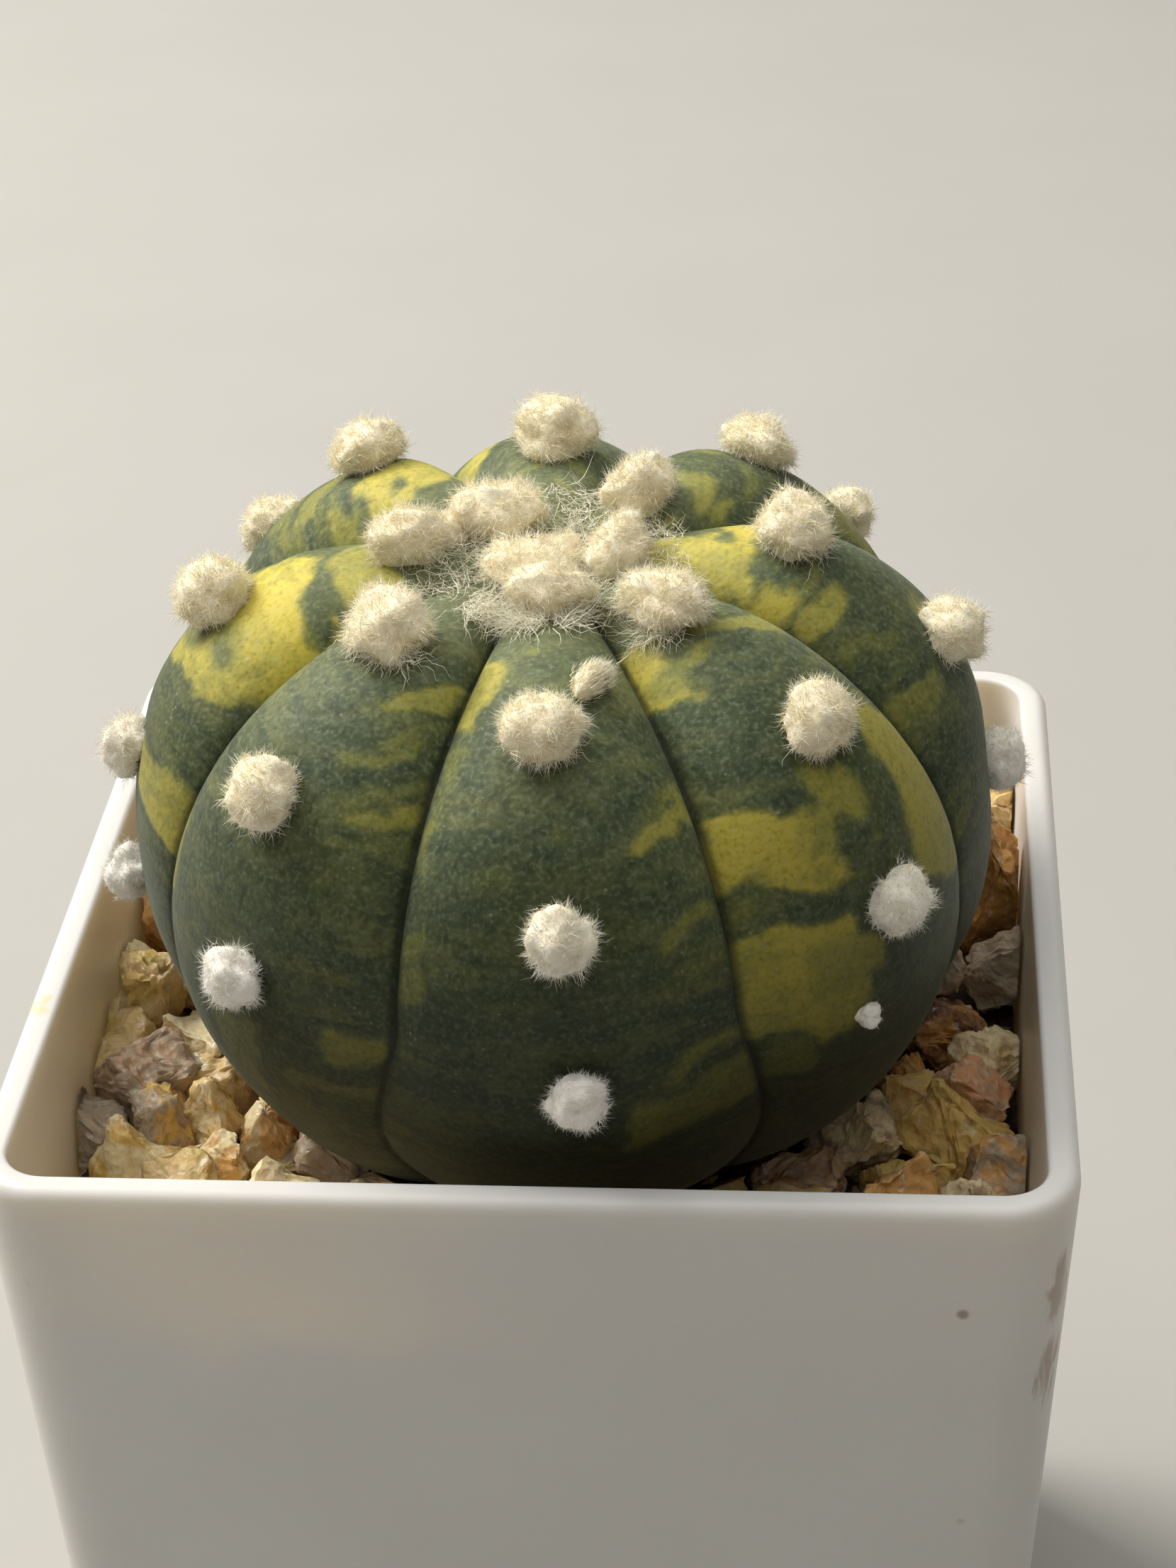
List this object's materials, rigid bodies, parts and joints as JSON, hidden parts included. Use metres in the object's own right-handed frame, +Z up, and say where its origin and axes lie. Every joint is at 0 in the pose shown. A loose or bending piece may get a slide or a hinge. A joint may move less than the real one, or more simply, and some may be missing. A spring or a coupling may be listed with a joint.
{
  "type": "potted variegated star cactus",
  "caption": "Ribbed ball of a spineless variegated star cactus with woolly tufts along its ribs, set in gravel in a white square plastic pot.",
  "frame": {"origin": "middle of the pot's base, on the surface that it stands on", "axes": "+Z up, the pot's front faces -Y, +X to the viewer's right"},
  "size_m": [0.07, 0.07, 0.1086],
  "materials": {
    "pot": "satin white moulded plastic",
    "soil": "matte dark potting mix",
    "gravel": "rough broken honey, cream and grey quartz",
    "cactus_body": "matte frosted green and yellow skin",
    "crown_wool": "loose cream wool"
  },
  "bodies": {
    "root": {"pot": "pot", "soil": "soil", "gravel": "gravel", "cactus_body": "cactus_body", "crown_wool": "crown_wool"}
  },
  "joints": []
}
